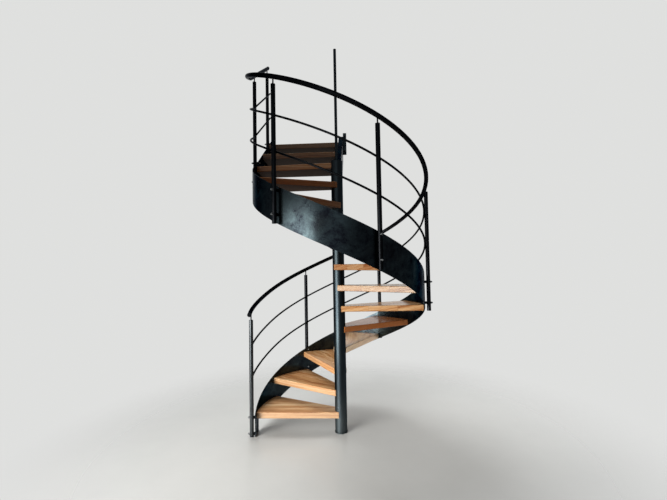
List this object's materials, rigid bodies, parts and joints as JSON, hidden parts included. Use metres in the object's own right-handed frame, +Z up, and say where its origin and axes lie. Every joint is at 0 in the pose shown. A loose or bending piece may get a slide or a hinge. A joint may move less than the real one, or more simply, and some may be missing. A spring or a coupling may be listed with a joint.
{
  "type": "spiral staircase",
  "caption": "Spiral stair: wedge timber treads clasp a steel column inside a rolled plate stringer, with outside posts, rails and a short straight flight at the top.",
  "frame": {"origin": "centre of the column's foot, on the lower floor", "axes": "+Z up along the column; +Y the way the straight top flight climbs; the stair climbs clockwise seen from above and starts on the -X side"},
  "size_m": [1.7509, 1.7497, 4.0335],
  "materials": {
    "tread_wood": "oiled hardwood",
    "blackened_steel": "blackened and waxed, semi-gloss",
    "plain_steel": "plain turned steel"
  },
  "bodies": {
    "root": {"base_ring": "blackened_steel", "column": "blackened_steel", "column_cap": "blackened_steel", "newel_bar": "blackened_steel", "tread_01": "tread_wood", "tread_02": "tread_wood", "tread_03": "tread_wood", "tread_04": "tread_wood", "tread_05": "tread_wood", "tread_06": "tread_wood", "tread_07": "tread_wood", "tread_08": "tread_wood", "tread_09": "tread_wood", "tread_10": "tread_wood", "tread_11": "tread_wood", "tread_12": "tread_wood", "tread_13": "tread_wood", "tread_14": "tread_wood", "tread_15": "tread_wood", "stringer_lower": "blackened_steel", "stringer_middle": "blackened_steel", "stringer_upper": "blackened_steel", "stringer_straight": "blackened_steel", "box_stringer": "blackened_steel", "top_bracket_inner": "blackened_steel", "top_bracket_outer": "blackened_steel", "post_1": "blackened_steel", "post_2": "blackened_steel", "post_3": "blackened_steel", "post_4": "blackened_steel", "post_5": "blackened_steel", "post_6": "blackened_steel", "post_7": "blackened_steel", "post_8": "blackened_steel", "post_pins": "blackened_steel", "post_sleeves": "plain_steel", "handrail_lower": "blackened_steel", "handrail_upper": "blackened_steel", "handrail_caps": "blackened_steel", "upper_rail_lower": "blackened_steel", "upper_rail_upper": "blackened_steel", "lower_rail_lower": "blackened_steel", "lower_rail_upper": "blackened_steel"}
  },
  "joints": []
}
